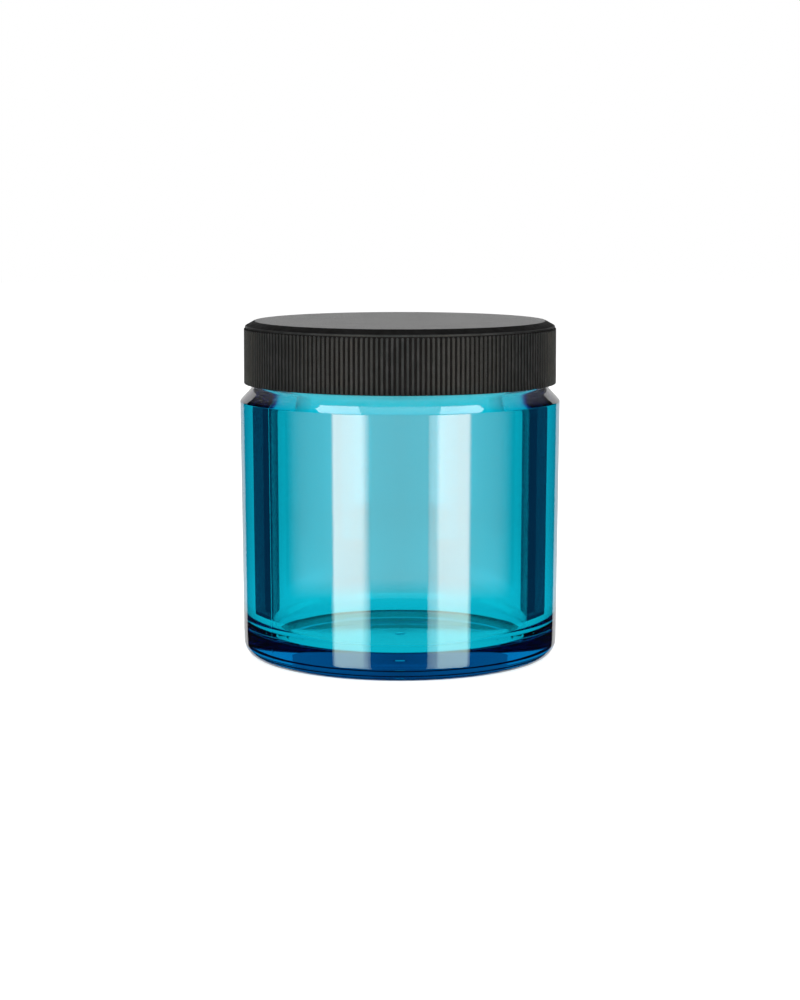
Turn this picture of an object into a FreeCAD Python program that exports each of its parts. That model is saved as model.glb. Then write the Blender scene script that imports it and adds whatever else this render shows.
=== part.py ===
"""Wide-mouth screw-top jar: heavy-walled clear body, ribbed one-piece cap and loose sealing liner.

Origin at the centre of the foot ring, +Z up through the neck. Millimetres.
The neck carries a right-hand thread of one start. The cap is modelled screwed right down.
"""
import FreeCAD, Part
import math
import os
import Sketcher

DIMENSIONS = {
    # jar, outside
    "overall_height": 100.0,
    "body_diameter": 95.0,
    "base_diameter": 93.7,
    "shoulder_height": 76.5,
    "neck_height": 81.3,
    "rim_height": 97.3,
    "base_fillet": 4.8,
    "shoulder_fillet": 0.3,
    "neck_root_fillet": 3.5,
    "rim_fillet": 0.5,
    # jar, underside
    "foot_diameter": 76.0,
    "dish_depth": 1.2,
    "gate_diameter": 3.0,
    "gate_length": 0.7,
    "notch_count": 36,
    "notch_width": 1.4,
    "notch_depth": 0.35,
    "notch_inner_diameter": 74.0,
    "notch_outer_diameter": 85.2,
    # jar, inside
    "mouth_diameter": 77.4,
    "floor_diameter": 76.6,
    "floor_height": 7.0,
    "floor_fillet": 6.0,
    # neck thread
    "neck_diameter": 86.0,
    "neck_thread_diameter": 88.8,
    "thread_pitch": 5.08,
    "thread_root_width": 2.4,
    "thread_crest_width": 0.9,
    "thread_embed": 0.3,
    "neck_thread_start": 86.9,
    "neck_thread_turns": 1.15,
    # cap, outside
    "cap_bottom_height": 81.6,
    "cap_bottom_diameter": 91.9,
    "cap_top_diameter": 91.74,
    "cap_disc_diameter": 86.56,
    "bevel_height": 1.5,
    "rib_count": 200,
    "rib_width": 1.04,
    "rib_height": 0.34,
    "rib_land": 0.5,
    # cap, inside
    "skirt_bore": 89.5,
    "cap_thread_diameter": 86.7,
    "thread_clearance": 0.15,
    "cap_thread_lead": 60.0,
    "cap_thread_turns": 1.0,
    "bead_diameter": 86.9,
    "bead_height": 1.2,
    "bead_lip": 0.15,
    "mouth_chamfer": 0.5,
    # liner
    "liner_diameter": 87.8,
    "liner_thickness": 1.0,
    "liner_side_gap": 0.25,
    "liner_face_gap": 0.05,
}

FULL_TURN = 360.0
RUNOUT_ANGLE = 14.0      # degrees over which each end of a thread fades into the wall
RUNOUT_MARGIN = 1.0      # how far the run-out cut reaches past the thread's own section
RUNOUT_LIP = 0.05        # height of the thread that is left where it fades out


class Size:
    """A number and the sheet expression that drives it."""

    def __init__(self, value, text):
        self.value = value
        self.text = text

    def __add__(self, other):
        other = as_size(other)
        return Size(self.value + other.value, f"({self.text} + {other.text})")

    def __sub__(self, other):
        other = as_size(other)
        return Size(self.value - other.value, f"({self.text} - {other.text})")

    def __mul__(self, other):
        other = as_size(other)
        return Size(self.value * other.value, f"({self.text} * {other.text})")

    def __truediv__(self, other):
        other = as_size(other)
        return Size(self.value / other.value, f"({self.text} / {other.text})")


def as_size(number):
    """Let a plain number stand where a Size is expected."""
    if isinstance(number, Size):
        return number
    return Size(float(number), repr(float(number)))


def dim(alias):
    """The driving dimension with this alias."""
    return Size(DIMENSIONS[alias], f"dims.{alias}")


def bind(feature, prop, size):
    """Drive one property of a feature from the sheet."""
    feature.setExpression(prop, size.text)


def make_sheet(doc):
    """Write every driving dimension into the spreadsheet, one row each."""
    sheet = doc.addObject("Spreadsheet::Sheet", "dims")
    for row, (alias, value) in enumerate(DIMENSIONS.items(), start=1):
        sheet.set(f"A{row}", alias)
        sheet.set(f"B{row}", str(value))
        sheet.setAlias(f"B{row}", alias)
    return sheet


def make_body(doc, label):
    """A named sub-part at the document's origin."""
    body = doc.addObject("PartDesign::Body", label)
    body.Label = label
    body.Placement = FreeCAD.Placement()
    return body


def sketch_on(body, role, name):
    """A sketch on one of the body's own origin planes."""
    plane = next(item for item in body.Origin.OriginFeatures if item.Role == role)
    sketch = body.newObject("Sketcher::SketchObject", name)
    sketch.AttachmentSupport = (plane, [""])
    sketch.MapMode = "FlatFace"
    return sketch


def place_point(sketch, index, end, x, y):
    """Fix one end of a sketch edge at (x, y), both driven by the sheet."""
    for kind, size in (("X", x), ("Y", y)):
        if abs(size.value) < 1e-9:
            axis = -2 if kind == "X" else -1
            sketch.addConstraint(Sketcher.Constraint("PointOnObject", index, end, axis))
            continue
        rule = Sketcher.Constraint("Distance" + kind, -1, 1, index, end, size.value)
        number = sketch.addConstraint(rule)
        sketch.renameConstraint(number, f"{kind.lower()}{index}")
        sketch.setExpression(f"Constraints.{kind.lower()}{index}", size.text)


def axis_arc(first, second):
    """The arc from first to second whose centre lies on x = 0, and whether it runs backwards."""
    rise = second.y - first.y
    centre_y = (second.x ** 2 - first.x ** 2 + second.y ** 2 - first.y ** 2) / (2 * rise)
    centre = FreeCAD.Vector(0, centre_y, 0)
    from_first = first - centre
    from_second = second - centre
    backwards = from_first.cross(from_second).z < 0
    start, end = (from_second, from_first) if backwards else (from_first, from_second)
    circle = Part.Circle(centre, FreeCAD.Vector(0, 0, 1), from_first.Length)
    arc = Part.ArcOfCircle(circle, math.atan2(start.y, start.x), math.atan2(end.y, end.x))
    return arc, backwards


def outline(sketch, corners):
    """A closed outline through the corners (x, y) or (x, y, "arc").

    "arc" makes the edge that leaves that corner an arc centred on the sketch's vertical axis.
    """
    zero = as_size(0)
    corners = [(as_size(c[0]), as_size(c[1]), len(c) > 2) for c in corners]
    points = [FreeCAD.Vector(x.value, y.value, 0) for x, y, _ in corners]
    ends = []
    for index, (_, _, is_arc) in enumerate(corners):
        first = points[index]
        second = points[(index + 1) % len(points)]
        if is_arc:
            edge, backwards = axis_arc(first, second)
            sketch.addGeometry(edge)
            sketch.addConstraint(Sketcher.Constraint("PointOnObject", index, 3, -2))
        else:
            backwards = False
            sketch.addGeometry(Part.LineSegment(first, second))
        ends.append((2, 1) if backwards else (1, 2))
    for index, (_, leaving) in enumerate(ends):
        following = (index + 1) % len(ends)
        rule = Sketcher.Constraint("Coincident", index, leaving, following, ends[following][0])
        sketch.addConstraint(rule)
    for index, (x, y, _) in enumerate(corners):
        place_point(sketch, index, ends[index][0], x or zero, y or zero)


def revolve(body, sketch, name):
    """Turn a sketch once about its vertical axis."""
    feature = body.newObject("PartDesign::Revolution", name)
    feature.Profile = sketch
    feature.ReferenceAxis = (sketch, ["V_Axis"])
    feature.Angle = FULL_TURN
    return feature


def ring_edges(feature, diameter, height):
    """Names of the feature's circular edges of this diameter at this height."""
    names = []
    for number, edge in enumerate(feature.Shape.Edges, start=1):
        curve = edge.Curve
        if not isinstance(curve, Part.Circle):
            continue
        same_size = abs(2 * curve.Radius - diameter.value) < 1e-3
        if same_size and abs(curve.Center.z - height.value) < 1e-3:
            names.append(f"Edge{number}")
    return names


def round_ring(doc, body, diameter, height, radius, name):
    """Fillet the ring edge of this diameter and height on the body's last feature."""
    doc.recompute()
    base = body.Tip
    feature = body.newObject("PartDesign::Fillet", name)
    feature.Base = (base, ring_edges(base, diameter, height))
    feature.Radius = radius.value
    bind(feature, "Radius", radius)
    return feature


def helix_thread(doc, body, name, wall, crest, start, turns, turn_offset):
    """Sweep a trapezoid thread of one start up the Z axis.

    wall and crest are radii. start is the height of the section's middle on the XZ plane
    before turn_offset degrees of screw motion are added to it.
    """
    root_half = dim("thread_root_width") / 2
    crest_half = dim("thread_crest_width") / 2
    into_wall = dim("thread_embed") * (1 if wall.value > crest.value else -1)
    middle = start + dim("thread_pitch") * turn_offset / FULL_TURN
    sketch = sketch_on(body, "XZ_Plane", name + "_section")
    outline(sketch, [
        (wall + into_wall, middle - root_half),
        (wall, middle - root_half),
        (crest, middle - crest_half),
        (crest, middle + crest_half),
        (wall, middle + root_half),
        (wall + into_wall, middle + root_half),
    ])
    turned = FreeCAD.Rotation(FreeCAD.Vector(0, 1, 0), turn_offset.value)
    sketch.AttachmentOffset = FreeCAD.Placement(FreeCAD.Vector(), turned)
    bind(sketch, "AttachmentOffset.Rotation.Angle", turn_offset)
    doc.recompute()
    feature = body.newObject("PartDesign::AdditiveHelix", name)
    feature.Profile = sketch
    feature.ReferenceAxis = (sketch, ["V_Axis"])
    feature.Mode = "pitch-turns-angle"
    feature.Pitch = DIMENSIONS["thread_pitch"]
    bind(feature, "Pitch", dim("thread_pitch"))
    feature.Turns = turns.value
    bind(feature, "Turns", turns)
    doc.recompute()
    return feature


def cut_foot_notches(doc, body, axis_sketch):
    """Shallow radial vents across the foot ring, evenly spaced."""
    inner = dim("notch_inner_diameter") / 2
    outer = dim("notch_outer_diameter") / 2
    half_width = dim("notch_width") / 2
    sketch = sketch_on(body, "XY_Plane", "notch_plan")
    outline(sketch, [
        (inner, half_width * -1),
        (outer, half_width * -1),
        (outer, half_width),
        (inner, half_width),
    ])
    doc.recompute()
    before = body.Shape.Volume
    notch = body.newObject("PartDesign::Pocket", "foot_notch")
    notch.Profile = sketch
    notch.Type = "Length"
    notch.Length = DIMENSIONS["notch_depth"]
    bind(notch, "Length", dim("notch_depth"))
    notch.Reversed = True
    doc.recompute()
    if not before - body.Shape.Volume > 0.5:
        raise RuntimeError("the foot notch cut nothing")
    ring = body.newObject("PartDesign::PolarPattern", "foot_notches")
    ring.Originals = [notch]
    ring.Axis = (axis_sketch, ["V_Axis"])
    ring.Angle = FULL_TURN
    ring.Occurrences = int(DIMENSIONS["notch_count"])
    bind(ring, "Occurrences", dim("notch_count"))
    body.Tip = ring
    doc.recompute()


def make_jar(doc):
    """Thick-walled body with dished base, shoulder cone and threaded neck."""
    body = make_body(doc, "jar")
    body_radius = dim("body_diameter") / 2
    base_radius = dim("base_diameter") / 2
    neck_radius = dim("neck_diameter") / 2
    gate_bottom = dim("dish_depth") - dim("gate_length")
    sketch = sketch_on(body, "XZ_Plane", "jar_section")
    outline(sketch, [
        (0, gate_bottom),
        (dim("gate_diameter") / 2, gate_bottom),
        (dim("gate_diameter") / 2, dim("dish_depth"), "arc"),
        (dim("foot_diameter") / 2, 0),
        (base_radius, 0),
        (body_radius, dim("shoulder_height")),
        (neck_radius, dim("neck_height")),
        (neck_radius, dim("rim_height")),
        (dim("mouth_diameter") / 2, dim("rim_height")),
        (dim("floor_diameter") / 2, dim("floor_height")),
        (0, dim("floor_height")),
    ])
    revolve(body, sketch, "jar_shell")
    round_ring(doc, body, dim("base_diameter"), as_size(0), dim("base_fillet"), "base_round")
    round_ring(doc, body, dim("floor_diameter"), dim("floor_height"), dim("floor_fillet"), "floor_round")
    round_ring(doc, body, dim("body_diameter"), dim("shoulder_height"), dim("shoulder_fillet"),
               "shoulder_round")
    round_ring(doc, body, dim("neck_diameter"), dim("neck_height"), dim("neck_root_fillet"),
               "neck_root_round")
    round_ring(doc, body, dim("neck_diameter"), dim("rim_height"), dim("rim_fillet"), "rim_outer_round")
    round_ring(doc, body, dim("mouth_diameter"), dim("rim_height"), dim("rim_fillet"), "rim_inner_round")
    doc.recompute()
    cut_foot_notches(doc, body, sketch)
    crest_radius = dim("neck_thread_diameter") / 2
    start = dim("neck_thread_start")
    turns = dim("neck_thread_turns")
    helix_thread(doc, body, "neck_thread", neck_radius, crest_radius, start, turns, as_size(0))
    ease_thread_end(doc, body, "neck_thread_foot", ramp_out(neck_radius, crest_radius, 1),
                    start, as_size(0))
    ease_thread_end(doc, body, "neck_thread_head", ramp_out(neck_radius, crest_radius, -1),
                    start + dim("thread_pitch") * turns, turns * FULL_TURN)
    return body


def ease_thread_end(doc, body, name, corners, height, angle):
    """Cut the thread end at this height and angle away inside a plan outline.

    The outline's x runs out through the end of the thread and its y runs anticlockwise.
    """
    reach = dim("thread_root_width") / 2 + RUNOUT_MARGIN
    sketch = sketch_on(body, "XY_Plane", name + "_plan")
    outline(sketch, corners)
    sketch.AttachmentOffset = FreeCAD.Placement(
        FreeCAD.Vector(0, 0, (height - reach).value),
        FreeCAD.Rotation(FreeCAD.Vector(0, 0, 1), angle.value))
    bind(sketch, "AttachmentOffset.Base.z", height - reach)
    bind(sketch, "AttachmentOffset.Rotation.Angle", angle)
    doc.recompute()
    before = body.Shape.Volume
    feature = body.newObject("PartDesign::Pocket", name)
    feature.Profile = sketch
    feature.Type = "Length"
    feature.Length = (reach * 2).value
    bind(feature, "Length", reach * 2)
    feature.Reversed = True
    doc.recompute()
    if not before - body.Shape.Volume > 1.0:
        raise RuntimeError(f"{name} cut nothing")


def ramp_out(wall, crest, side):
    """Plan of the run-out of an outside thread: everything beyond the tangent at its end.

    side is 1 where the thread lies anticlockwise of its end, or -1.
    """
    foot = wall + RUNOUT_LIP
    outer = crest + RUNOUT_MARGIN
    tangent_length = (crest.value ** 2 - wall.value ** 2) ** 0.5 + RUNOUT_MARGIN
    return [
        (foot, as_size(-side * RUNOUT_MARGIN)),
        (outer, as_size(-side * RUNOUT_MARGIN)),
        (outer, as_size(side * tangent_length)),
        (foot, as_size(side * tangent_length)),
    ]


def ramp_in(wall, crest, side):
    """Plan of the run-out of an inside thread: everything behind the chord from wall to crest."""
    angle = math.radians(RUNOUT_ANGLE)
    foot = wall - RUNOUT_LIP
    inner = crest - RUNOUT_MARGIN
    return [
        (foot, as_size(0)),
        (crest * math.cos(angle), crest * (side * math.sin(angle))),
        (inner * math.cos(angle) - RUNOUT_MARGIN, crest * (side * math.sin(angle))),
        (inner - RUNOUT_MARGIN, as_size(-side * RUNOUT_MARGIN)),
        (foot - RUNOUT_LIP, as_size(-side * RUNOUT_MARGIN)),
    ]


def make_cap(doc):
    """One-piece screw cap: top plate, bevel, ribbed skirt, liner bead and inside thread."""
    body = make_body(doc, "cap")
    bottom = dim("cap_bottom_height")
    top = dim("overall_height")
    bevel_foot = top - dim("bevel_height")
    bottom_radius = dim("cap_bottom_diameter") / 2
    top_radius = dim("cap_top_diameter") / 2
    bore_radius = dim("skirt_bore") / 2
    bead_radius = dim("bead_diameter") / 2
    seat_radius = dim("liner_diameter") / 2 + dim("liner_side_gap")
    liner_bottom = dim("rim_height") + dim("liner_face_gap")
    seat_height = liner_bottom + dim("liner_thickness") + dim("liner_face_gap")
    bead_top = liner_bottom - dim("bead_lip")
    sketch = sketch_on(body, "XZ_Plane", "cap_section")
    outline(sketch, [
        (0, top),
        (dim("cap_disc_diameter") / 2, top),
        (top_radius, bevel_foot),
        (bottom_radius, bottom),
        (bore_radius + dim("mouth_chamfer"), bottom),
        (bore_radius, bottom + dim("mouth_chamfer")),
        (bore_radius, bead_top - dim("bead_height")),
        (bead_radius, bead_top - dim("bead_height") / 2),
        (bead_radius, bead_top - dim("bead_lip")),
        (seat_radius, bead_top),
        (seat_radius, seat_height),
        (0, seat_height),
    ])
    # The seam of the turned shell lies in a groove, half a pitch from the nearest rib.
    seam = as_size(FULL_TURN / 2) / dim("rib_count")
    sketch.AttachmentOffset = FreeCAD.Placement(
        FreeCAD.Vector(), FreeCAD.Rotation(FreeCAD.Vector(0, 1, 0), seam.value))
    bind(sketch, "AttachmentOffset.Rotation.Angle", seam)
    revolve(body, sketch, "cap_shell")

    skirt_height = bevel_foot - bottom
    lean = bottom_radius - top_radius
    draft = Size(math.degrees(math.atan2(lean.value, skirt_height.value)),
                 f"atan({lean.text} / {skirt_height.text})")
    rib_radius = dim("rib_width") / 2
    rib_axis = bottom_radius + dim("rib_height") - rib_radius
    rib_tip = skirt_height - dim("rib_land")
    rib_section = sketch_on(body, "XZ_Plane", "rib_section")
    outline(rib_section, [
        (0, 0),
        (rib_radius, 0),
        (rib_radius, rib_tip - rib_radius, "arc"),
        (0, rib_tip),
    ])
    rib_section.AttachmentOffset = FreeCAD.Placement(
        FreeCAD.Vector(rib_axis.value, bottom.value, 0),
        FreeCAD.Rotation(FreeCAD.Vector(0, 0, 1), draft.value))
    bind(rib_section, "AttachmentOffset.Base.x", rib_axis)
    bind(rib_section, "AttachmentOffset.Base.y", bottom)
    bind(rib_section, "AttachmentOffset.Rotation.Angle", draft)
    rib = revolve(body, rib_section, "grip_rib")
    doc.recompute()
    ring = body.newObject("PartDesign::PolarPattern", "grip_ribs")
    ring.Originals = [rib]
    ring.Axis = (sketch, ["V_Axis"])
    ring.Angle = FULL_TURN
    ring.Occurrences = int(DIMENSIONS["rib_count"])
    bind(ring, "Occurrences", dim("rib_count"))
    body.Tip = ring
    doc.recompute()

    crest_radius = dim("cap_thread_diameter") / 2
    lead = dim("cap_thread_lead") * -1
    turns = dim("cap_thread_turns")
    flank = (dim("thread_root_width") - dim("thread_crest_width")) / 2 / (bore_radius - crest_radius)
    neck_radius = dim("neck_diameter") / 2
    flank_contact = dim("thread_root_width") - flank * (bore_radius - neck_radius)
    start = dim("neck_thread_start") - flank_contact - dim("thread_clearance")
    foot_height = start + dim("thread_pitch") * lead / FULL_TURN
    head_height = foot_height + dim("thread_pitch") * turns
    helix_thread(doc, body, "cap_thread", bore_radius, crest_radius, start, turns, lead)
    ease_thread_end(doc, body, "cap_thread_foot", ramp_in(bore_radius, crest_radius, 1),
                    foot_height, lead)
    ease_thread_end(doc, body, "cap_thread_head", ramp_in(bore_radius, crest_radius, -1),
                    head_height, lead + turns * FULL_TURN)
    return body


def make_liner(doc):
    """Loose foam disc between the cap's top plate and the jar's rim."""
    body = make_body(doc, "liner")
    bottom = dim("rim_height") + dim("liner_face_gap")
    sketch = sketch_on(body, "XZ_Plane", "liner_section")
    radius = dim("liner_diameter") / 2
    outline(sketch, [
        (0, bottom),
        (radius, bottom),
        (radius, bottom + dim("liner_thickness")),
        (0, bottom + dim("liner_thickness")),
    ])
    revolve(body, sketch, "liner_disc")
    return body


def main():
    doc = FreeCAD.newDocument("screw_top_jar")
    make_sheet(doc)
    doc.recompute()
    parts = [make_jar(doc), make_cap(doc), make_liner(doc)]
    doc.recompute()
    for item in doc.Objects:
        if "Invalid" in item.State or "Error" in item.State:
            raise RuntimeError(f"{item.Label} failed: {item.State}")
    os.makedirs("parts", exist_ok=True)
    for body in parts:
        shape = body.Shape
        if shape.isNull() or not shape.isValid() or len(shape.Solids) != 1:
            raise RuntimeError(f"{body.Label} isn't one valid solid")
        print(body.Label, round(shape.Volume / 1000, 3), "cm3", len(shape.Solids), "solid", shape.BoundBox)
        shape.exportStep(f"parts/{body.Label}.step")


main()
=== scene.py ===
import math

import bmesh
import bpy
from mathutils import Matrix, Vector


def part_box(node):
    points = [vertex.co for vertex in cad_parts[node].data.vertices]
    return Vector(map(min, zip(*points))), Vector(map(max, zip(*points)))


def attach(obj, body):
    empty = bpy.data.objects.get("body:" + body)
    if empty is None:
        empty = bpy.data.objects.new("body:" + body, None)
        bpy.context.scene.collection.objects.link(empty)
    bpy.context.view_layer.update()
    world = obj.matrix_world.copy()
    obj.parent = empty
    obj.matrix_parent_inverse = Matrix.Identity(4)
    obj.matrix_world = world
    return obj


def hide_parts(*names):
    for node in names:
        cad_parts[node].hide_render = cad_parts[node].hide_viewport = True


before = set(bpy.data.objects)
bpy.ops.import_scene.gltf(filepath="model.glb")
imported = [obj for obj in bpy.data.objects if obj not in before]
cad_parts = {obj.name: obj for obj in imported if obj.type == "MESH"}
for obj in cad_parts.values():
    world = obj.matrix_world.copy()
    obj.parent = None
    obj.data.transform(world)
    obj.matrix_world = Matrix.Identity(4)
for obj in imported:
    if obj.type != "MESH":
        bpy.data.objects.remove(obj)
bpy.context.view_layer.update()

MM = 0.001


# --- sizes read from the frame ---------------------------------------------------------

def box_mm(node):
    """(radius, lowest height, highest height) of a CAD node, in millimetres."""
    low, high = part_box(node)
    return (high[0] - low[0]) / 2 / MM, low[2] / MM, high[2] / MM


BODY_RADIUS, _, RIM = box_mm("jar")
CAP_RADIUS, CAP_BOTTOM, CAP_TOP = box_mm("cap")
LINER_RADIUS, LINER_BOTTOM, LINER_TOP = box_mm("liner")

# --- jar, in millimetres, with notches and seams placed in degrees about the axis ------
BASE_TAPER = 0.65
BASE_RADIUS = BODY_RADIUS - BASE_TAPER
BASE_ROUND = 4.8
SHOULDER = 76.5
SHOULDER_ROUND = 0.3
NECK_FOOT = 81.3
NECK_RADIUS = 43.0
NECK_ROOT_ROUND = 3.5
RIM_ROUND = 0.5
MOUTH_RADIUS = 38.7
FLOOR_RADIUS = 38.3
FLOOR = 7.0
FLOOR_ROUND = 6.0
FOOT_RADIUS = 38.0
FOOT_EDGE = 0.95
FOOT_EDGE_HEIGHT = 0.06
DISH = 1.2
GATE_RADIUS = 1.5
GATE_LENGTH = 0.7
NOTCH_PITCH = 10.0
NOTCH_DEPTH = 0.07
NOTCH_HALF_WIDTH = 1.0
NOTCH_EDGE = 0.5
JAR_COLUMNS = 720
SEAM_ANGLES = (-142.0, 38.0)
SEAM_STEPS = (-0.24, -0.12, 0.0, 0.12, 0.24)
SEAM_HEIGHT = 0.035

# --- thread, shared by neck and cap, with angles in degrees ----------------------------
PITCH = 5.08
THREAD_ROOT = 2.4
THREAD_CREST = 0.9
THREAD_DEPTH = 1.4
THREAD_FADE = 16.0
NECK_THREAD_START = 86.9
NECK_THREAD_TURNS = 1.15
NECK_THREAD_MARGIN = 0.2
CAP_THREAD_DROP = 1.61
CAP_THREAD_LEAD = 60.0
CAP_THREAD_TURNS = 1.0
CAP_THREAD_MARGIN = 0.1

# --- cap -------------------------------------------------------------------------------
RIB_COUNT = 200
RIB_HEIGHT = 0.34
RIB_HALF_WIDTH = 0.36       # this and the next two are shares of the rib pitch
RIB_EDGE = 0.14
RIB_PROFILE = (-0.5, -0.41, -0.34, -0.30, -0.2, 0.0, 0.2, 0.30, 0.34, 0.41)
RIB_TIP_GAP = 0.5
RIB_TIP_LENGTH = 0.55
RIB_TIP_EDGE = 0.35
# Skirt faces lower than this share of the rib height take the darkest black as painted shade.
GROOVE_SHADE_SHARE = 0.45
BEVEL_HEIGHT = 1.5
BEVEL_SETBACK = 0.42
BEVEL_RADIUS = CAP_RADIUS - BEVEL_SETBACK
DISC_RADIUS = 43.28
DISC_EDGE = 0.18
SKIRT_EDGE = 0.08
SKIRT_BORE = 44.75
BORE_CHAMFER = 0.5
BEAD_RADIUS = 43.45
BEAD_HEIGHT = 1.2
BEAD_LAND = (0.6, 0.15)     # lowest and highest place of its crest, below its top
BEAD_GAP = 0.15
SEAT_RADIUS = LINER_RADIUS + 0.25
SEAT_HEIGHT = LINER_TOP + 0.05
INNER_COLUMNS = 400
# The last zone is the darkest black: painted shade on the grooves and the bevel.
DISC, SATIN, INSIDE, GROOVE_SHADE = range(4)

# --- liner -----------------------------------------------------------------------------
LINER_COLUMNS = 240
LINER_EDGE = 0.15


# --- mesh helpers ----------------------------------------------------------------------

def arc(centre_r, centre_h, radius, start, end, steps):
    """Points (r, height) on an arc, angles in degrees, both ends included."""
    points = []
    for step in range(steps + 1):
        angle = math.radians(start + (end - start) * step / steps)
        points.append((centre_r + radius * math.cos(angle), centre_h + radius * math.sin(angle)))
    return points


def levels(low, high, count):
    """Evenly spaced numbers from low to high, both included."""
    return [low + (high - low) * step / count for step in range(count + 1)]


def smooth(value):
    """0 to 1 with a soft start and end, for value clamped to 0 to 1."""
    value = min(max(value, 0.0), 1.0)
    return value * value * (3 - 2 * value)


def face_outwards(mesh):
    """Turn a closed skin's faces outwards."""
    work = bmesh.new()
    work.from_mesh(mesh)
    inside_out = work.calc_volume(signed=True) < 0
    work.free()
    if inside_out:
        mesh.flip_normals()


def add_mesh(name, vertices, faces, sharp=30):
    """A smooth shaded object from millimetre vertices, its hard corners kept sharp."""
    mesh = bpy.data.meshes.new(name)
    mesh.from_pydata([(x * MM, y * MM, z * MM) for x, y, z in vertices], [], faces)
    mesh.validate()
    face_outwards(mesh)
    mesh.polygons.foreach_set("use_smooth", [True] * len(mesh.polygons))
    mesh.set_sharp_from_angle(angle=math.radians(sharp))
    obj = bpy.data.objects.new(name, mesh)
    bpy.context.scene.collection.objects.link(obj)
    return obj


def polar(radius, degrees, height):
    angle = math.radians(degrees)
    return (radius * math.cos(angle), radius * math.sin(angle), height)


class Turned:
    """Rings of vertices about Z, joined one to the next into one closed skin."""

    def __init__(self):
        self.vertices = []
        self.faces = []
        self.zones = []
        self.last = None

    def ring(self, angles, place, zone=0):
        """Add the ring of place(angle) = (radius, height) and join it to the ring before it."""
        first = len(self.vertices)
        for angle in angles:
            radius, height = place(angle)
            self.vertices.append(polar(radius, angle, height))
        self.join(list(range(first, len(self.vertices))), zone)

    def pole(self, height, zone=0):
        """Close the skin on the axis."""
        self.vertices.append((0.0, 0.0, height))
        self.join([len(self.vertices) - 1], zone)

    def join(self, ring, zone):
        """Faces between the last ring and this one, whose counts may be multiples."""
        previous = self.last
        self.last = ring
        if previous is None:
            return
        flip = len(previous) > len(ring)
        few, many = (ring, previous) if flip else (previous, ring)
        per_face = len(many) // len(few)
        if len(few) == 1:
            steps = [([few[0]], [many[i], many[(i + 1) % len(many)]]) for i in range(len(many))]
        else:
            steps = []
            for i in range(len(few)):
                span = [many[(i * per_face + k) % len(many)] for k in range(per_face + 1)]
                steps.append(([few[(i + 1) % len(few)], few[i]], span))
        for near, far in steps:
            face = near + far
            self.faces.append(face[::-1] if flip else face)
            self.zones.append(zone)

    def build(self, name, materials, sharp=30):
        obj = add_mesh(name, self.vertices, self.faces, sharp)
        for material in materials:
            obj.data.materials.append(material)
        obj.data.polygons.foreach_set("material_index", self.zones)
        return obj


def thread_height(degrees, height, start, first, turns):
    """How far a one-start right-hand thread stands out at this place, from 0 to 1.

    start is the height of its middle at 0 degrees and first is the angle where it begins.
    """
    last = first + 360 * turns
    best = 0.0
    turn = math.floor((first - degrees) / 360)
    while degrees + 360 * turn <= last:
        along = degrees + 360 * turn
        turn += 1
        if along < first:
            continue
        off = abs(height - (start + PITCH * along / 360))
        flank = (THREAD_ROOT / 2 - off) / ((THREAD_ROOT - THREAD_CREST) / 2)
        fade = min((along - first) / THREAD_FADE, (last - along) / THREAD_FADE, 1.0)
        best = max(best, smooth(flank) * smooth(fade))
    return best


# --- jar -------------------------------------------------------------------------------

def jar_angles():
    """Evenly spaced columns with a few more at the mould's parting line."""
    angles = {round(360 * step / JAR_COLUMNS, 4) for step in range(JAR_COLUMNS)}
    for seam in SEAM_ANGLES:
        angles |= {round((seam + step) % 360, 4) for step in SEAM_STEPS}
    return sorted(angles)


def seam_ridge(degrees):
    """Height of the parting line's fine ridge at this angle."""
    ridge = 0.0
    for seam in SEAM_ANGLES:
        off = abs((degrees - seam + 180) % 360 - 180)
        ridge = max(ridge, SEAM_HEIGHT * smooth(1 - off / SEAM_STEPS[-1]))
    return ridge


def notch(degrees):
    """Depth of the foot ring's radial vents at this angle, 0 to 1."""
    off = abs((degrees + NOTCH_PITCH / 2) % NOTCH_PITCH - NOTCH_PITCH / 2)
    return smooth((NOTCH_HALF_WIDTH + NOTCH_EDGE / 2 - off) / NOTCH_EDGE)


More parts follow.
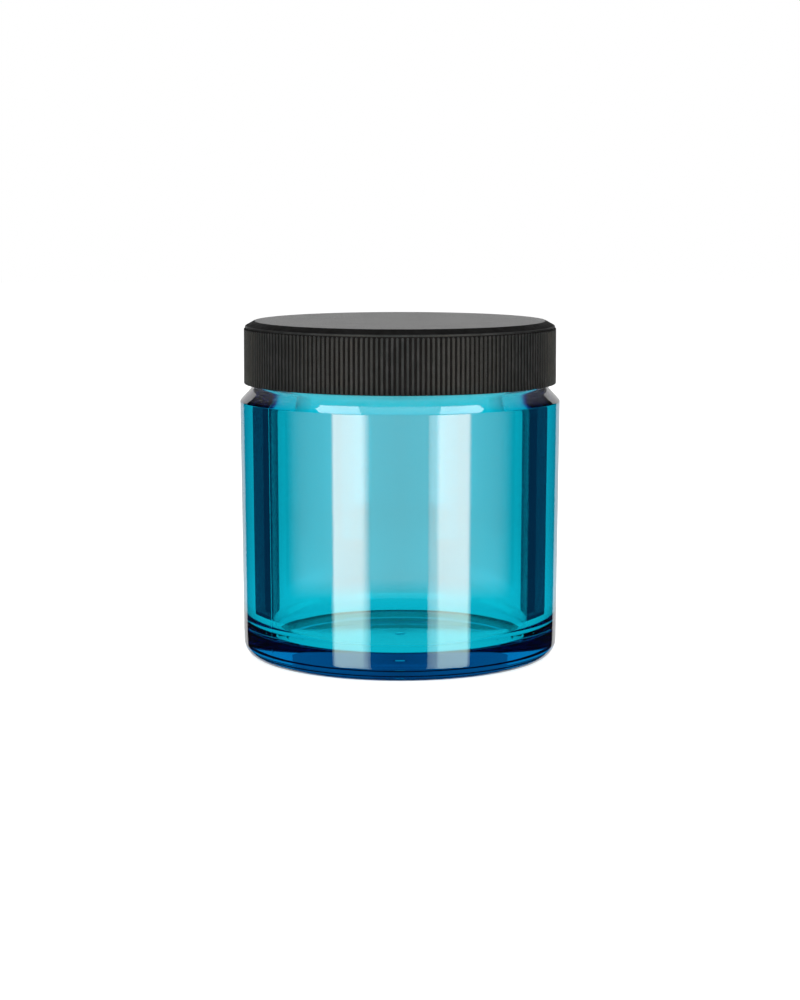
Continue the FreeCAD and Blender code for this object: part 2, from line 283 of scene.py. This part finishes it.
def make_jar(material):
    """Dished base, thick wall, shoulder cone, threaded neck, rim and cavity."""
    skin = Turned()
    angles = jar_angles()

    def plain(radius, height):
        skin.ring(angles, lambda degrees: (radius, height))

    def seamed(radius, height):
        skin.ring(angles, lambda degrees: (radius + seam_ridge(degrees), height))

    def notched(radius, height):
        skin.ring(angles, lambda degrees: (
            radius, height + (NOTCH_DEPTH - height) * notch(degrees)))

    heel_centre = BASE_RADIUS - BASE_ROUND
    skin.pole(DISH - GATE_LENGTH)
    plain(GATE_RADIUS * 0.8, DISH - GATE_LENGTH)
    plain(GATE_RADIUS, DISH - GATE_LENGTH * 0.7)
    plain(GATE_RADIUS, DISH)
    for share in levels(0.2, 0.96, 8):
        plain(FOOT_RADIUS * share, DISH * (1 - share ** 2))
    for radius, height in (
        (FOOT_RADIUS - FOOT_EDGE, FOOT_EDGE_HEIGHT),
        (FOOT_RADIUS, 0.0),
        (FOOT_RADIUS + 2.0, 0.0),
        (heel_centre, 0.0),
        (heel_centre + 0.4, 0.02),
    ):
        notched(radius, height)
    for radius, height in arc(heel_centre, BASE_ROUND, BASE_ROUND, -81, 0, 13):
        seamed(radius, height)
    slope = (BODY_RADIUS - BASE_RADIUS) / SHOULDER
    for height in levels(BASE_ROUND + 4, SHOULDER - 1, 6):
        seamed(BASE_RADIUS + slope * height, height)
    cone = math.degrees(math.atan2(NECK_FOOT - SHOULDER, BODY_RADIUS - NECK_RADIUS))
    edge = SHOULDER_ROUND
    for radius, height in arc(BODY_RADIUS - edge, SHOULDER - edge * 0.6, edge, 0, cone, 4):
        seamed(radius, height)
    reach = NECK_ROOT_ROUND * math.tan(math.radians(90 - cone) / 2)
    root_share = 1 - reach / math.hypot(NECK_FOOT - SHOULDER, BODY_RADIUS - NECK_RADIUS)
    for share in levels(0.12, root_share - 0.03, 4):
        radius = BODY_RADIUS + (NECK_RADIUS - BODY_RADIUS) * share
        seamed(radius, SHOULDER + (NECK_FOOT - SHOULDER) * share)
    root_radius = NECK_RADIUS + NECK_ROOT_ROUND
    for radius, height in arc(root_radius, NECK_FOOT + reach, NECK_ROOT_ROUND, 270 - cone, 180, 8):
        seamed(radius, height)

    thread_low = NECK_THREAD_START - THREAD_ROOT / 2 - NECK_THREAD_MARGIN
    thread_end = NECK_THREAD_START + PITCH * NECK_THREAD_TURNS
    thread_high = thread_end + THREAD_ROOT / 2 + NECK_THREAD_MARGIN
    for height in levels(thread_low, thread_high, 46):
        skin.ring(angles, lambda degrees: (
            NECK_RADIUS + THREAD_DEPTH * thread_height(
                degrees, height, NECK_THREAD_START, 0, NECK_THREAD_TURNS),
            height))
    for radius, height in arc(NECK_RADIUS - RIM_ROUND, RIM - RIM_ROUND, RIM_ROUND, 0, 90, 5):
        plain(radius, height)
    for radius, height in arc(MOUTH_RADIUS + RIM_ROUND, RIM - RIM_ROUND, RIM_ROUND, 90, 180, 5):
        plain(radius, height)
    for height in levels(RIM - 6, FLOOR + FLOOR_ROUND + 3, 5):
        share = (height - FLOOR) / (RIM - FLOOR)
        plain(FLOOR_RADIUS + (MOUTH_RADIUS - FLOOR_RADIUS) * share, height)
    flat_radius = FLOOR_RADIUS - FLOOR_ROUND
    for radius, height in arc(flat_radius, FLOOR + FLOOR_ROUND, FLOOR_ROUND, 0, -90, 16):
        plain(radius, height)
    for share in levels(0.9, 0.2, 5):
        plain(flat_radius * share, FLOOR)
    skin.pole(FLOOR)
    return skin.build("jar_body", [material], sharp=35)


# --- cap -------------------------------------------------------------------------------

def rib_rise(across, below_tip):
    """Height of a grip rib, 0 to 1, at this share of the pitch and distance below its tip."""
    lift = smooth((RIB_HALF_WIDTH - abs(across)) / RIB_EDGE)
    rounded = RIB_TIP_LENGTH * (across / RIB_HALF_WIDTH) ** 2
    return lift * smooth((below_tip - rounded) / RIB_TIP_EDGE)


def make_cap(disc, satin, groove_shade, inside):
    """Disc, bevel, ribbed skirt and, inside it, thread, liner bead and seat."""
    skin = Turned()
    step = 360 / RIB_COUNT
    outer = [(rib + across) * step for rib in range(RIB_COUNT) for across in RIB_PROFILE]
    outer = [angle - outer[0] for angle in outer]
    inner = [360 * k / INNER_COLUMNS for k in range(INNER_COLUMNS)]
    bevel_foot = CAP_TOP - BEVEL_HEIGHT
    rib_top = bevel_foot - RIB_TIP_GAP
    root_low = CAP_RADIUS - RIB_HEIGHT

    def across_of(degrees):
        """Place of this angle within its rib, as a share of the pitch from -0.5 to 0.5."""
        return degrees / step % 1.0 - 0.5

    def skirt(height):
        share = (bevel_foot - height) / (bevel_foot - CAP_BOTTOM)
        root = BEVEL_RADIUS + (root_low - BEVEL_RADIUS) * share

        def place(degrees):
            return root + RIB_HEIGHT * rib_rise(across_of(degrees), rib_top - height), height
        return place

    skin.pole(CAP_TOP, DISC)
    for share in levels(0.15, 0.93, 6):
        skin.ring(inner, lambda degrees: (DISC_RADIUS * share, CAP_TOP), DISC)
    # The bevel's rings take the darkest black: painted shade.
    for radius, height, zone in (
        (DISC_RADIUS - DISC_EDGE * 2, CAP_TOP, DISC),
        (DISC_RADIUS - DISC_EDGE * 0.4, CAP_TOP - 0.03, SATIN),
        (DISC_RADIUS + DISC_EDGE, CAP_TOP - 0.13, GROOVE_SHADE),
        (BEVEL_RADIUS - DISC_EDGE, bevel_foot + 0.13, GROOVE_SHADE),
        (BEVEL_RADIUS, bevel_foot - 0.03, SATIN),
    ):
        skin.ring(outer, lambda degrees: (radius, height), zone)
    for height in levels(rib_top + 0.05, rib_top - 1.0, 9):
        skin.ring(outer, skirt(height), SATIN)
    for height in levels(rib_top - 3, CAP_BOTTOM + 0.12, 4):
        skin.ring(outer, skirt(height), SATIN)
    foot = skirt(CAP_BOTTOM)
    skin.ring(outer, lambda degrees: (foot(degrees)[0] - SKIRT_EDGE, CAP_BOTTOM), SATIN)
    skin.ring(inner, lambda degrees: (SKIRT_BORE + BORE_CHAMFER, CAP_BOTTOM), INSIDE)
    skin.ring(inner, lambda degrees: (SKIRT_BORE, CAP_BOTTOM + BORE_CHAMFER), INSIDE)
    start = NECK_THREAD_START - CAP_THREAD_DROP
    lead = PITCH * CAP_THREAD_LEAD / 360
    low = start - lead - THREAD_ROOT / 2 - CAP_THREAD_MARGIN
    reach = PITCH * (CAP_THREAD_TURNS - CAP_THREAD_LEAD / 360)
    high = start + reach + THREAD_ROOT / 2 + CAP_THREAD_MARGIN
    for height in levels(low, high, 40):
        skin.ring(inner, lambda degrees: (
            SKIRT_BORE - THREAD_DEPTH * thread_height(
                degrees, height, start, -CAP_THREAD_LEAD, CAP_THREAD_TURNS),
            height), INSIDE)
    bead_top = LINER_BOTTOM - BEAD_GAP
    for radius, height in (
        (SKIRT_BORE, bead_top - BEAD_HEIGHT),
        (BEAD_RADIUS, bead_top - BEAD_LAND[0]),
        (BEAD_RADIUS, bead_top - BEAD_LAND[1]),
        (SEAT_RADIUS, bead_top),
        (SEAT_RADIUS, SEAT_HEIGHT),
        (SEAT_RADIUS * 0.5, SEAT_HEIGHT),
    ):
        skin.ring(inner, lambda degrees: (radius, height), INSIDE)
    skin.pole(SEAT_HEIGHT, INSIDE)
    cap = skin.build("cap_moulding", [disc, satin, inside, groove_shade], sharp=40)
    # Faces sunk between the ribs take the darkest black: painted shade in the grooves.
    for face in cap.data.polygons:
        x, y, z = face.center
        depth = BEVEL_RADIUS + GROOVE_SHADE_SHARE * RIB_HEIGHT - math.hypot(x, y) / MM
        if face.material_index == SATIN and z / MM < rib_top and depth > 0:
            face.material_index = GROOVE_SHADE
    return cap


# --- liner -----------------------------------------------------------------------------

def make_liner(material):
    """Punched foam disc with softened edges."""
    skin = Turned()
    angles = [360 * k / LINER_COLUMNS for k in range(LINER_COLUMNS)]
    skin.pole(LINER_BOTTOM)
    for radius, height in (
        (LINER_RADIUS * 0.5, LINER_BOTTOM),
        (LINER_RADIUS - LINER_EDGE, LINER_BOTTOM),
        (LINER_RADIUS, LINER_BOTTOM + LINER_EDGE),
        (LINER_RADIUS, LINER_TOP - LINER_EDGE),
        (LINER_RADIUS - LINER_EDGE, LINER_TOP),
        (LINER_RADIUS * 0.5, LINER_TOP),
    ):
        skin.ring(angles, lambda degrees: (radius, height))
    skin.pole(LINER_TOP)
    return skin.build("liner_foam", [material])


# --- materials -------------------------------------------------------------------------

# The shoulder's skin is slightly hazy from here up to the cap.
HAZE_LOW = 76.8
HAZE_HIGH = 80.5
HAZE = 0.12

PET_IOR = 1.57

# Light lost per metre in the tinted wall, for red, green and blue.
PET_LOSS = (285.0, 27.0, 13.5)
PET_DENSITY = 290.0
PET_TINT = tuple(1 - loss / PET_DENSITY for loss in PET_LOSS) + (1.0,)


class Nodes:
    """Short names for making a material's node tree."""

    def __init__(self, name):
        self.material = bpy.data.materials.new(name)
        self.material.use_nodes = True
        self.tree = self.material.node_tree
        self.shader = self.tree.nodes["Principled BSDF"]
        self.output = self.tree.nodes["Material Output"]
        self.place = self.add("ShaderNodeTexCoord").outputs["Object"]

    def add(self, kind, **values):
        """A node with its properties or input sockets set by name."""
        node = self.tree.nodes.new(kind)
        for key, value in values.items():
            if key in node.inputs:
                node.inputs[key].default_value = value
            else:
                setattr(node, key, value)
        return node

    def link(self, source, target):
        self.tree.links.new(source, target)

    def noise(self, scale, detail=4.0, roughness=0.5):
        node = self.add("ShaderNodeTexNoise", Scale=scale, Detail=detail, Roughness=roughness)
        self.link(self.place, node.inputs["Vector"])
        return node.outputs["Fac"]

    def ramp(self, source, low, high, start=0.35, end=0.65):
        """source between start and end mapped to colours or grey values low to high."""
        node = self.add("ShaderNodeValToRGB")
        first, last = node.color_ramp.elements
        first.position, last.position = start, end
        first.color = (*low, 1) if isinstance(low, tuple) else (low, low, low, 1)
        last.color = (*high, 1) if isinstance(high, tuple) else (high, high, high, 1)
        self.link(source, node.inputs["Fac"])
        return node.outputs["Color"]

    def bump(self, source, strength, distance):
        node = self.add("ShaderNodeBump", Strength=strength, Distance=distance)
        self.link(source, node.inputs["Height"])
        return node.outputs["Normal"]

    def drive(self, socket, source):
        self.link(source, self.shader.inputs[socket])


def blue_pet():
    """Clear tinted PET: polished skin with faint flow waves, colour from absorption.

    Towards the neck the skin lets slightly less light straight through.
    """
    n = Nodes("blue_pet")
    n.shader.inputs["IOR"].default_value = PET_IOR
    n.drive("Base Color", n.ramp(n.noise(60.0), (0.985, 0.99, 0.99), (1.0, 1.0, 1.0)))
    n.drive("Roughness", n.ramp(n.noise(220.0, 6.0), 0.0, 0.012, 0.5, 0.8))
    split = n.add("ShaderNodeSeparateXYZ")
    n.link(n.place, split.inputs["Vector"])
    haze = n.add("ShaderNodeMapRange")
    for socket, value in (("From Min", HAZE_LOW * MM), ("From Max", HAZE_HIGH * MM),
                          ("To Min", 1.0), ("To Max", 1 - HAZE)):
        haze.inputs[socket].default_value = value
    n.link(split.outputs["Z"], haze.inputs["Value"])
    n.drive("Transmission Weight", haze.outputs["Result"])
    n.drive("Normal", n.bump(n.noise(38.0, 2.0), 0.02, 0.0006))
    absorb = n.add("ShaderNodeVolumeAbsorption", Color=PET_TINT, Density=PET_DENSITY)
    n.link(absorb.outputs["Volume"], n.output.inputs["Volume"])
    return n.material


def black_grain_painted_light():
    """Top disc: fine spark-eroded grain, matt black, lighter than the other blacks as painted light
    on the lit top.
    """
    n = Nodes("black_pp_grain_painted_light")
    grain = n.noise(1700.0, 3.0, 0.6)
    broad = n.noise(90.0, 3.0)
    n.shader.inputs["Specular IOR Level"].default_value = 1.0
    n.shader.inputs["Sheen Weight"].default_value = 0.10
    n.shader.inputs["Sheen Roughness"].default_value = 0.4
    # The ramp's light end is grain tone and also painted light: the disc's black is raised to look
    # lit.
    n.drive("Base Color", n.ramp(grain, (0.012, 0.012, 0.012), (0.085, 0.085, 0.084)))
    n.drive("Roughness", n.ramp(broad, 0.37, 0.41))
    n.drive("Normal", n.bump(grain, 1.0, 0.00022))
    return n.material


def black_satin():
    """Rib faces and the bevel's rounded edges: smooth black with light handling marks."""
    n = Nodes("black_pp_satin")
    fine = n.noise(1500.0, 4.0, 0.6)
    scuff = n.noise(240.0, 6.0, 0.7)
    n.shader.inputs["Specular IOR Level"].default_value = 0.18
    n.shader.inputs["Specular Tint"].default_value = (0.82, 1.0, 1.0, 1.0)
    n.drive("Base Color", n.ramp(scuff, 0.011, 0.025, 0.45, 0.75))
    n.drive("Roughness", n.ramp(scuff, 0.40, 0.55))
    n.drive("Normal", n.bump(fine, 0.25, 0.00004))
    return n.material


def black_painted_shade():
    """Bevel and grooves between the ribs: the dullest black, darker than the rest as painted shade.
    """
    n = Nodes("black_pp_painted_shade")
    n.shader.inputs["Specular IOR Level"].default_value = 0.07
    n.drive("Base Color", n.ramp(n.noise(300.0), 0.002, 0.005))
    n.drive("Roughness", n.ramp(n.noise(700.0), 0.6, 0.75))
    n.drive("Normal", n.bump(n.noise(1500.0), 0.2, 0.00003))
    return n.material


def black_inside():
    """Inside of the cap: plain core finish, a little glossier."""
    n = Nodes("black_pp_inside")
    n.drive("Base Color", n.ramp(n.noise(120.0), 0.012, 0.020))
    n.drive("Roughness", n.ramp(n.noise(400.0), 0.3, 0.42))
    n.drive("Normal", n.bump(n.noise(900.0), 0.15, 0.00004))
    return n.material


def white_foam():
    """Film-faced foam with the faint orange peel of the film."""
    n = Nodes("white_foam")
    n.drive("Base Color", n.ramp(n.noise(150.0), (0.78, 0.78, 0.76), (0.86, 0.86, 0.84)))
    n.drive("Roughness", n.ramp(n.noise(500.0), 0.4, 0.6))
    n.drive("Normal", n.bump(n.noise(1100.0, 2.0), 0.3, 0.00005))
    return n.material


# --- studio ----------------------------------------------------------------------------

STUDIO_RADIUS = 900.0
STRIP_RADIUS = 880.0
FRONT = -90.0               # the camera's side, in degrees about the jar
ROOM_LIGHT = 0.01
ROOM_LOW = -900
ROOM_HIGH = 900
BACKDROP_HIGH = 1100
FILL_LOW = -142.0
FILL_EDGE = 13.0
FILL_STRENGTH = 2.25
FRONT_REACH = 28.6          # degrees round from the camera's side, left and right
STRIP_END = 46.5
THROUGH_STRENGTH = 3.0
OVERHEAD_HEIGHT = 1000
POOL_HEIGHT = -0.2
FLOOR_HEIGHT = -0.05
FLOOR_SIZE = 2500.0
FLOOR_NEAR = 50.0           # nearer the jar than this the floor's own light is FLOOR_DIM
FLOOR_FAR = 350.0
FLOOR_DIM = 0.80
CAMERA_DISTANCE = 712.2
CAMERA_HEIGHT = 142.5
CAMERA_PITCH = 7.701        # degrees below level
CAMERA_LENS = 86.43
CAMERA_SENSOR = 36
WHITE = (1.0, 1.0, 1.0)
WARM_WHITE = (1.0, 0.67, 0.54)
COOL_WHITE = (0.73, 1.0, 0.85)
BLUE_SHADE = (0.0, 0.04, 0.08)
BLUE_GLOW = (0.0, 1.8, 1.6)
TEAL_GLOW = (0.5, 0.80, 0.80)


def light(name, vertices, faces, colours):
    """A light-giving surface, coloured at its corners, that the camera itself doesn't see."""
    obj = add_mesh(name, vertices, faces)
    stored = obj.data.attributes.new("light", "FLOAT_COLOR", "POINT")
    stored.data.foreach_set("color", [part for colour in colours for part in (*colour, 1.0)])
    material = bpy.data.materials.new(name)
    material.use_nodes = True
    tree = material.node_tree
    tree.nodes.clear()
    read = tree.nodes.new("ShaderNodeAttribute")
    read.attribute_name = "light"
    emission = tree.nodes.new("ShaderNodeEmission")
    output = tree.nodes.new("ShaderNodeOutputMaterial")
    tree.links.new(read.outputs["Color"], emission.inputs["Color"])
    tree.links.new(emission.outputs["Emission"], output.inputs["Surface"])
    obj.data.materials.append(material)
    obj.visible_camera = False
    return obj


def panel(name, across, up, radius=STUDIO_RADIUS):
    """A curved light panel about the jar.

    across is a list of (degrees round from straight behind, strength) and up a list of
    (height, share of the strength, colour). Both are read as smooth runs.
    """
    vertices = []
    colours = []
    for (first, weak), (last, strong) in zip(across, across[1:]):
        for angle in levels(first, last, 8):
            share = (angle - first) / (last - first)
            strength = weak + (strong - weak) * share
            turn = math.radians(angle)
            for height, part, colour in up:
                vertices.append((radius * math.sin(turn), radius * math.cos(turn), height))
                colours.append(tuple(strength * part * channel for channel in colour))
    rows = len(up)
    faces = []
    for k in range(len(vertices) // rows - 1):
        for row in range(rows - 1):
            low = k * rows + row
            faces.append((low, low + rows, low + rows + 1, low + 1))
    return light(name, vertices, faces, colours)


def both_sides(name, across, up):
    """The same panel left and right. Angles are degrees round from the camera's side."""
    pair = []
    for side in (-1, 1):
        turned = [(180 - side * angle, strength) for angle, strength in across]
        pair.append(panel(name, turned, up))
    return pair


def overhead(name, left, right, front, back, strength):
    """A flat softbox above the jar, seen only in reflections."""
    outline = ((left, front), (right, front), (right, back), (left, back))
    corners = [(across, along, OVERHEAD_HEIGHT) for across, along in outline]
    box = light(name, corners, [(0, 1, 2, 3)], [(strength,) * 3] * 4)
    box.visible_transmission = False


def light_pool(name, inner, outer, middle, half_angle, strength, fade=0):
    """Part of the lit table round the foot, as only the clear plastic sees it.

    fade is the angle over which its light runs out past each end.
    """
    reach = half_angle + fade
    angles = levels(middle - reach, middle + reach, 72)
    corners = [polar(radius, angle, POOL_HEIGHT) for radius in (inner, outer) for angle in angles]
    shares = [min(1, (reach - abs(angle - middle)) / fade) if fade else 1 for angle in angles]
    count = len(angles)
    faces = [(k, k + 1, count + k + 1, count + k) for k in range(count - 1)]
    pool = light(name, corners, faces, [(strength * share,) * 3 for share in shares * 2])
    pool.visible_diffuse = False
    pool.visible_glossy = False
    pool.visible_shadow = False


def make_lights():
    """Backdrop, front and side fill, tall softboxes, side panels, overheads and the lit table.

    Some are seen only in reflections and some only through the plastic.
    """
    full = [(ROOM_LOW, 1, WHITE), (BACKDROP_HIGH, 1, WHITE)]
    fill = [(FILL_LOW, 0, WHITE), (FILL_LOW + FILL_EDGE, 1, WHITE), (ROOM_HIGH, 1, WHITE)]
    tall = [(-420, 0.40, COOL_WHITE), (-190, 0.60, COOL_WHITE), (-150, 0.80, COOL_WHITE),
            (-128, 0.95, WARM_WHITE), (-105, 1, WARM_WHITE), (60, 1, WARM_WHITE),
            (220, 0.08, WHITE), (BACKDROP_HIGH, 0.08, WHITE)]
    rising = [(ROOM_LOW, 1.25, WHITE), (-135, 1.18, WHITE), (-80, 1, WHITE),
              (BACKDROP_HIGH, 1, WHITE)]
    panel("backdrop", [(-31, 0.80), (-20, 0.78), (-11, 0.75), (-5, 0.65), (0, 0.56),
                       (5, 0.65), (11, 0.75), (20, 0.78), (31, 0.80)], rising)
    ahead = [(180 - FRONT_REACH, 1), (180 + FRONT_REACH, 1)]
    bright = [(height, share * FILL_STRENGTH, colour) for height, share, colour in fill]
    room = panel("front_fill", ahead, bright)
    room.visible_transmission = False
    deep = panel("front_through", ahead, [(ROOM_LOW, 1.0, WHITE), (FILL_LOW, 1.0, WHITE),
                                          (120, 1.5, WHITE), (500, 1.6, WHITE),
                                          (ROOM_HIGH, 1.6, WHITE)])
    deep.visible_glossy = False
    deep.visible_diffuse = False
    both_sides("side_fill", [(STRIP_END, 1.6), (72, 1.1), (77, 0.75), (83, 0.2), (86, 0.0)], fill)
    strips = (
        panel("strip_left", [(180 + 20.5, 2.2), (180 + 24, 8.0), (180 + 27, 12.2),
                             (180 + STRIP_END, 12.2), (180 + 48, 4.0), (180 + 49, 1.6)],
              tall, STRIP_RADIUS),
        panel("strip_right", [(180 - 19, 2.2), (180 - 20.5, 5.0), (180 - 25, 6.5), (180 - 28, 12.2),
                              (180 - 48, 12.2), (180 - 50, 4.0), (180 - 51, 1.6)],
              tall, STRIP_RADIUS),
    )
    for strip in strips:
        strip.visible_transmission = False
        strip.visible_diffuse = False
    beside = [(FRONT_REACH, THROUGH_STRENGTH), (STRIP_END, THROUGH_STRENGTH)]
    for inner in both_sides("strip_through", beside, full):
        inner.visible_glossy = False
    banded = [(ROOM_LOW, 1, TEAL_GLOW), (-450, 1, TEAL_GLOW), (-400, 1, BLUE_SHADE),
              (0, 1, BLUE_SHADE), (50, 1, BLUE_GLOW), (330, 1, BLUE_GLOW),
              (380, 1, BLUE_SHADE), (ROOM_HIGH, 1, BLUE_SHADE)]
    for shade in both_sides("side_shade", [(89, 1), (149, 1)], banded):
        shade.visible_glossy = False
        shade.visible_diffuse = False
    overhead("overhead_middle", -300, 300, -500, 0, 1.8)
    overhead("overhead_left", -640, -300, -250, 100, 6.0)
    overhead("overhead_right", 300, 640, -250, 100, 6.0)
    light_pool("pool_under", 0, 46, FRONT, 180, 0.8)
    light_pool("pool_ring", 46, 88, FRONT, 180, 0.85)
    light_pool("pool_side", 88, 135, FRONT, 70, 1.0, fade=18)
    light_pool("pool_front", 135, 300, FRONT, 70, 1.0, fade=18)


def make_floor():
    """Pale floor, seen by the camera and lit softly; the jar's clear walls look past it."""
    outline = ((-1, -1), (1, -1), (1, 1), (-1, 1))
    corners = [(FLOOR_SIZE * x, FLOOR_SIZE * y, FLOOR_HEIGHT) for x, y in outline]
    floor = add_mesh("floor", corners, [(0, 1, 2, 3)])
    material = bpy.data.materials.new("floor_white")
    material.use_nodes = True
    shader = material.node_tree.nodes["Principled BSDF"]
    shader.inputs["Base Color"].default_value = (0.9, 0.9, 0.9, 1)
    shader.inputs["Roughness"].default_value = 0.9
    shader.inputs["Emission Color"].default_value = (1, 1, 1, 1)
    nodes = material.node_tree.nodes
    links = material.node_tree.links
    place = nodes.new("ShaderNodeTexCoord")
    length = nodes.new("ShaderNodeVectorMath")
    length.operation = "LENGTH"
    spread = nodes.new("ShaderNodeMapRange")
    for socket, value in (("From Min", FLOOR_NEAR * MM), ("From Max", FLOOR_FAR * MM),
                          ("To Min", FLOOR_DIM), ("To Max", 1.0)):
        spread.inputs[socket].default_value = value
    links.new(place.outputs["Object"], length.inputs[0])
    links.new(length.outputs["Value"], spread.inputs["Value"])
    links.new(spread.outputs["Result"], shader.inputs["Emission Strength"])
    floor.data.materials.append(material)
    floor.visible_glossy = False
    floor.visible_transmission = False


def make_world():
    """White to the camera, dim grey room to everything else."""
    world = bpy.data.worlds.new("studio")
    world.use_nodes = True
    tree = world.node_tree
    room = tree.nodes["Background"]
    room.inputs["Color"].default_value = (ROOM_LIGHT, ROOM_LIGHT, ROOM_LIGHT, 1)
    white = tree.nodes.new("ShaderNodeBackground")
    white.inputs["Color"].default_value = (1, 1, 1, 1)
    path = tree.nodes.new("ShaderNodeLightPath")
    mix = tree.nodes.new("ShaderNodeMixShader")
    tree.links.new(path.outputs["Is Camera Ray"], mix.inputs[0])
    tree.links.new(room.outputs[0], mix.inputs[1])
    tree.links.new(white.outputs[0], mix.inputs[2])
    tree.links.new(mix.outputs[0], tree.nodes["World Output"].inputs["Surface"])
    bpy.context.scene.world = world


def make_camera():
    """Long lens a little above the jar, looking slightly down."""
    data = bpy.data.cameras.new("camera")
    camera = bpy.data.objects.new("camera", data)
    bpy.context.scene.collection.objects.link(camera)
    camera.location = (0, -CAMERA_DISTANCE * MM, CAMERA_HEIGHT * MM)
    camera.rotation_euler = (math.radians(90 - CAMERA_PITCH), 0, 0)
    data.sensor_fit = "VERTICAL"
    data.sensor_width = data.sensor_height = CAMERA_SENSOR
    data.lens = CAMERA_LENS
    data.clip_start = 0.01
    bpy.context.scene.camera = camera


# --- assembly --------------------------------------------------------------------------

def assemble(piece, node, body):
    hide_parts(node)
    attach(piece, body)


make_camera()
make_world()
make_floor()
make_lights()

assemble(make_jar(blue_pet()), "jar", "jar")
cap_finishes = (black_grain_painted_light(), black_satin(), black_painted_shade(), black_inside())
assemble(make_cap(*cap_finishes), "cap", "cap")
assemble(make_liner(white_foam()), "liner", "liner")

scene = bpy.context.scene
scene.view_settings.view_transform = "Standard"
scene.cycles.max_bounces = 48
scene.cycles.glossy_bounces = 40
scene.cycles.transmission_bounces = 40
